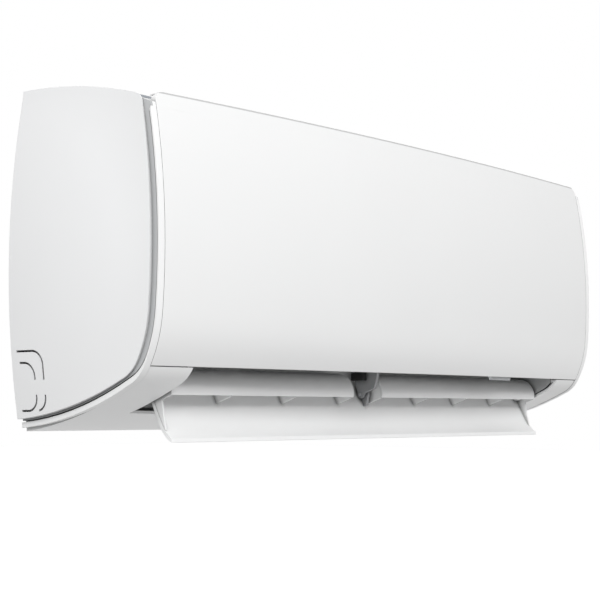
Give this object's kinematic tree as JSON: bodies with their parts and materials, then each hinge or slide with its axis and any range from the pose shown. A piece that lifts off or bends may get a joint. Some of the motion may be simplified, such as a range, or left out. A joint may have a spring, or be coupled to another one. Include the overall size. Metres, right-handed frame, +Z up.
{
  "type": "wall-mounted split air conditioner indoor unit",
  "caption": "Wall-mounted air conditioner indoor unit with a bowed front panel, domed end caps and an open double-skinned outlet louvre.",
  "frame": {"origin": "centre of the screw pattern on the wall side of the mounting plate", "axes": "+X to the right along the unit as seen from the room, +Y into the wall, +Z up"},
  "size_m": [0.738, 0.1829, 0.3085],
  "materials": {
    "zinc_steel": "galvanised sheet",
    "chassis_plastic": "fine matt",
    "casing_white": "satin",
    "panel_white": "smooth, softly glossy",
    "cap_white": "satin",
    "groove_grey": "satin",
    "filter_frame": "matt",
    "filter_mesh": "fine woven net",
    "fin_aluminium": "thin coated fins",
    "copper": "drawn copper",
    "nut_brass": "machined",
    "clamp_plastic": "matt",
    "pan_foam_white": "matt",
    "spout_grey": "matt",
    "plug_rubber": "soft",
    "fan_grey": "matt",
    "shaft_steel": "ground",
    "bearing_rubber": "soft",
    "motor_case": "plated",
    "vane_plastic": "matt",
    "louvre_white": "smooth",
    "louvre_inner": "satin",
    "bracket_grey": "matt",
    "pad_black": "soft",
    "box_plastic": "matt",
    "board_green": "lacquered board",
    "terminal_black": "matt",
    "lens_smoke": "translucent tinted",
    "button_white": "smooth"
  },
  "bodies": {
    "chassis": {"mounting_plate": "zinc_steel", "rear_chassis": "chassis_plastic", "front_frame": "casing_white", "top_grille": "chassis_plastic", "left_end_cap": "cap_white", "right_end_cap": "cap_white", "left_groove_trim": "groove_grey", "right_groove_trim": "groove_grey", "coil_fins_front": "fin_aluminium", "coil_fins_upper": "fin_aluminium", "coil_fins_rear": "fin_aluminium", "coil_tubes": "copper", "coil_end_plates": "zinc_steel", "liquid_pipe": "copper", "gas_pipe": "copper", "flare_nuts": "nut_brass", "pipe_clamp": "clamp_plastic", "drain_pan": "pan_foam_white", "drain_spout": "spout_grey", "drain_plug": "plug_rubber", "fan_bearing": "bearing_rubber", "fan_motor": "motor_case", "motor_clamp": "clamp_plastic", "louvre_pin": "shaft_steel", "louvre_bracket": "bracket_grey", "bracket_pad": "pad_black", "louvre_motor": "motor_case", "control_box": "box_plastic", "circuit_board": "board_green", "terminal_block": "terminal_black", "control_cover": "box_plastic", "receiver_housing": "box_plastic", "receiver_window": "lens_smoke", "casing_screws": "zinc_steel", "motor_screws": "zinc_steel"},
    "panel": {"front_panel": "panel_white"},
    "left_filter": {"left_filter_frame": "filter_frame", "left_filter_mesh": "filter_mesh"},
    "right_filter": {"right_filter_frame": "filter_frame", "right_filter_mesh": "filter_mesh"},
    "fan": {"cross_flow_fan": "fan_grey", "fan_stub_shaft": "shaft_steel", "motor_shaft": "shaft_steel", "hub_screw": "shaft_steel"},
    "louvre": {"louvre_flap": "louvre_white", "louvre_skin_left": "louvre_inner", "louvre_skin_right": "louvre_inner", "louvre_hub": "bracket_grey", "louvre_motor_shaft": "shaft_steel"},
    "left_link": {"left_link_bar": "vane_plastic"},
    "right_link": {"right_link_bar": "vane_plastic"},
    "button": {"emergency_button": "button_white"},
    "vane_body_1": {"vane_1": "vane_plastic"},
    "vane_body_2": {"vane_2": "vane_plastic"},
    "vane_body_3": {"vane_3": "vane_plastic"},
    "vane_body_4": {"vane_4": "vane_plastic"},
    "vane_body_5": {"vane_5": "vane_plastic"},
    "vane_body_6": {"vane_6": "vane_plastic"},
    "vane_body_7": {"vane_7": "vane_plastic"},
    "vane_body_8": {"vane_8": "vane_plastic"}
  },
  "joints": [
    {"name": "panel_hinge", "type": "hinge", "parent": "chassis", "child": "panel", "pos_m": [0, -0.146, 0.109], "axis": [-1, 0, 0], "range_deg": [0, 60]},
    {"name": "left_filter_lift", "type": "slide", "parent": "chassis", "child": "left_filter", "axis": [0, 0, 1], "range_m": [0, 0.08]},
    {"name": "right_filter_lift", "type": "slide", "parent": "chassis", "child": "right_filter", "axis": [0, 0, 1], "range_m": [0, 0.08]},
    {"name": "fan_spin", "type": "hinge", "parent": "chassis", "child": "fan", "pos_m": [0, -0.074, -0.03], "axis": [1, 0, 0], "continuous": true},
    {"name": "louvre_swing", "type": "hinge", "parent": "chassis", "child": "louvre", "pos_m": [0, -0.107, -0.127], "axis": [1, 0, 0], "range_deg": [-87, 3]},
    {"name": "vane_1_swing", "type": "hinge", "parent": "chassis", "child": "vane_body_1", "pos_m": [-0.262, -0.0503, -0.104], "axis": [0, -0.866, 0.5], "range_deg": [-30, 30]},
    {"name": "vane_2_swing", "type": "hinge", "parent": "chassis", "child": "vane_body_2", "pos_m": [-0.194, -0.0503, -0.104], "axis": [0, -0.866, 0.5], "range_deg": [-30, 30]},
    {"name": "vane_3_swing", "type": "hinge", "parent": "chassis", "child": "vane_body_3", "pos_m": [-0.126, -0.0503, -0.104], "axis": [0, -0.866, 0.5], "range_deg": [-30, 30]},
    {"name": "vane_4_swing", "type": "hinge", "parent": "chassis", "child": "vane_body_4", "pos_m": [-0.058, -0.0503, -0.104], "axis": [0, -0.866, 0.5], "range_deg": [-30, 30]},
    {"name": "vane_5_swing", "type": "hinge", "parent": "chassis", "child": "vane_body_5", "pos_m": [0.01, -0.0503, -0.104], "axis": [0, -0.866, 0.5], "range_deg": [-30, 30]},
    {"name": "vane_6_swing", "type": "hinge", "parent": "chassis", "child": "vane_body_6", "pos_m": [0.078, -0.0503, -0.104], "axis": [0, -0.866, 0.5], "range_deg": [-30, 30]},
    {"name": "vane_7_swing", "type": "hinge", "parent": "chassis", "child": "vane_body_7", "pos_m": [0.146, -0.0503, -0.104], "axis": [0, -0.866, 0.5], "range_deg": [-30, 30]},
    {"name": "vane_8_swing", "type": "hinge", "parent": "chassis", "child": "vane_body_8", "pos_m": [0.214, -0.0503, -0.104], "axis": [0, -0.866, 0.5], "range_deg": [-30, 30]},
    {"name": "left_link_slide", "type": "slide", "parent": "chassis", "child": "left_link", "axis": [1, 0, 0], "range_m": [-0.006, 0.006]},
    {"name": "right_link_slide", "type": "slide", "parent": "chassis", "child": "right_link", "axis": [1, 0, 0], "range_m": [-0.006, 0.006]},
    {"name": "button_press", "type": "slide", "parent": "chassis", "child": "button", "axis": [0, 1, 0], "range_m": [0, 0.0012], "stiffness_N_per_m": 400}
  ],
  "couplings": [
    {"joint": "vane_2_swing", "follows": "vane_1_swing", "ratio": 1},
    {"joint": "vane_3_swing", "follows": "vane_1_swing", "ratio": 1},
    {"joint": "vane_4_swing", "follows": "vane_1_swing", "ratio": 1},
    {"joint": "vane_6_swing", "follows": "vane_5_swing", "ratio": 1},
    {"joint": "vane_7_swing", "follows": "vane_5_swing", "ratio": 1},
    {"joint": "vane_8_swing", "follows": "vane_5_swing", "ratio": 1},
    {"joint": "left_link_slide", "follows": "vane_1_swing", "m_per_rad": -0.011},
    {"joint": "right_link_slide", "follows": "vane_5_swing", "m_per_rad": -0.011}
  ]
}
